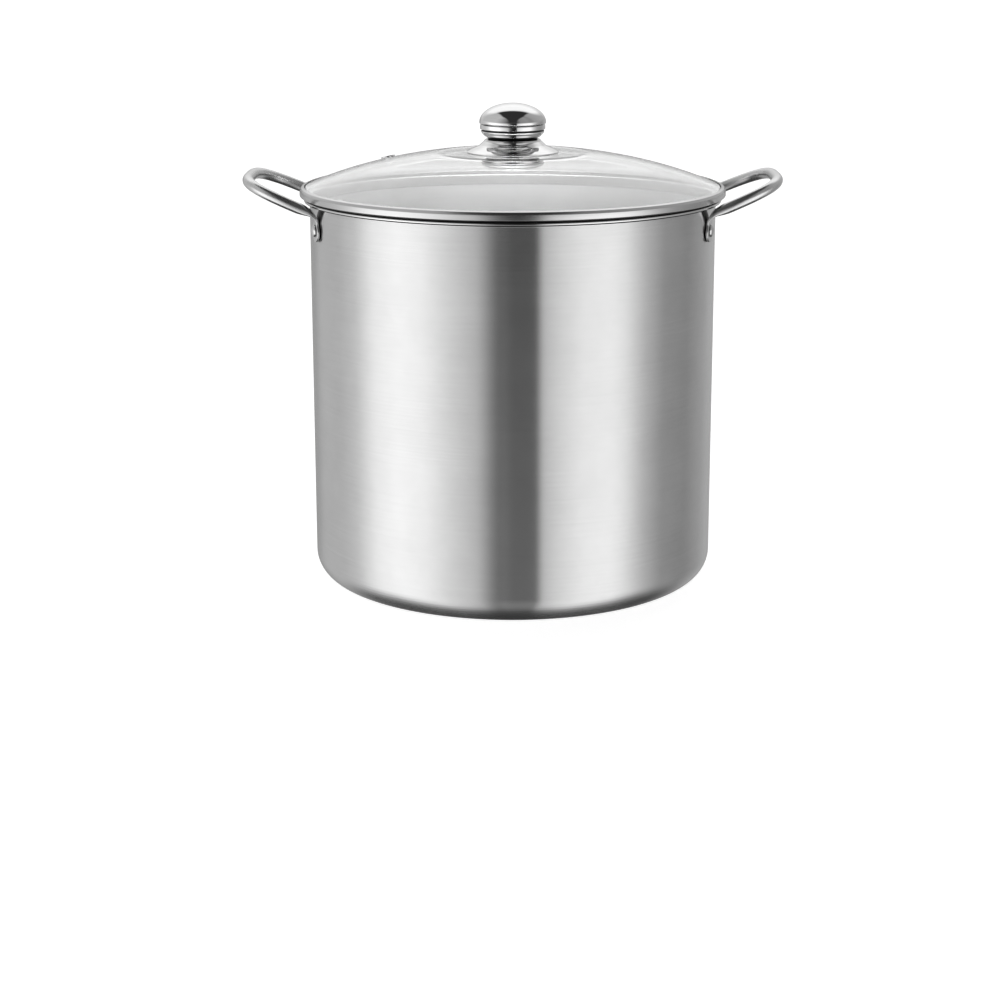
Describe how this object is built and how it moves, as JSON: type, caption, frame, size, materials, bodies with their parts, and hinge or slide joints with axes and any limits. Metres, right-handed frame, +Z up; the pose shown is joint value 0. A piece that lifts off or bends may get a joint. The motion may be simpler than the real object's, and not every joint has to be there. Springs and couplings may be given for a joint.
{
  "type": "water bath canner",
  "caption": "Tall stainless pot with riveted loop handles, a vented domed glass lid with a turned knob, and a wire jar rack with folding bails, for water bath canning.",
  "frame": {"origin": "centre of the pot's flat base, on the surface it stands on", "axes": "+Z up along the pot's axis, +X through the right handle, -Y the front"},
  "size_m": [0.398, 0.316, 0.356],
  "materials": {
    "pot_steel": "satin, fine grain round the wall",
    "handle_steel": "polished",
    "rivet_steel": "polished",
    "lid_glass": "clear tempered",
    "band_steel": "polished",
    "vent_steel": "polished",
    "knob_chrome": "mirror polished",
    "flange_chrome": "mirror polished",
    "silicone": "matt",
    "fixing_steel": "plain",
    "rack_wire": "bright plated wire"
  },
  "bodies": {
    "pot": {"pot_body": "pot_steel", "handle_left": "handle_steel", "handle_right": "handle_steel", "rivet_left_front": "rivet_steel", "rivet_left_rear": "rivet_steel", "rivet_right_front": "rivet_steel", "rivet_right_rear": "rivet_steel"},
    "lid": {"lid_glass": "lid_glass", "lid_rim_band": "band_steel", "vent_eyelet": "vent_steel", "knob_cap": "knob_chrome", "knob_body": "knob_chrome", "knob_flange": "flange_chrome", "knob_gasket_upper": "silicone", "knob_gasket_lower": "silicone", "knob_washer": "fixing_steel", "knob_bolt": "fixing_steel"},
    "rack": {"rack_outer_ring": "rack_wire", "rack_inner_ring": "rack_wire", "rack_cross_wire_1": "rack_wire", "rack_cross_wire_2": "rack_wire", "rack_cross_wire_3": "rack_wire", "rack_cross_wire_4": "rack_wire", "rack_cross_wire_5": "rack_wire", "rack_cross_wire_6": "rack_wire", "rack_cross_wire_7": "rack_wire", "rack_cross_wire_8": "rack_wire", "rack_cross_wire_9": "rack_wire", "rack_bearer_front": "rack_wire", "rack_bearer_rear": "rack_wire", "rack_foot_left_front": "rack_wire", "rack_foot_left_rear": "rack_wire", "rack_foot_right_front": "rack_wire", "rack_foot_right_rear": "rack_wire", "rack_hinge_bar_left": "rack_wire", "rack_hinge_bar_right": "rack_wire"},
    "bail_left": {"rack_bail_left": "rack_wire"},
    "bail_right": {"rack_bail_right": "rack_wire"}
  },
  "joints": [
    {"name": "lid_lift", "type": "slide", "parent": "pot", "child": "lid", "axis": [0, 0, 1], "range_m": [0, 0.15]},
    {"name": "rack_lift", "type": "slide", "parent": "pot", "child": "rack", "axis": [0, 0, 1], "range_m": [0, 0.16]},
    {"name": "bail_left_fold", "type": "hinge", "parent": "rack", "child": "bail_left", "pos_m": [-0.116, 0, 0.0198], "axis": [0, -1, 0], "range_deg": [0, 90]},
    {"name": "bail_right_fold", "type": "hinge", "parent": "rack", "child": "bail_right", "pos_m": [0.116, 0, 0.0198], "axis": [0, 1, 0], "range_deg": [0, 90]}
  ]
}
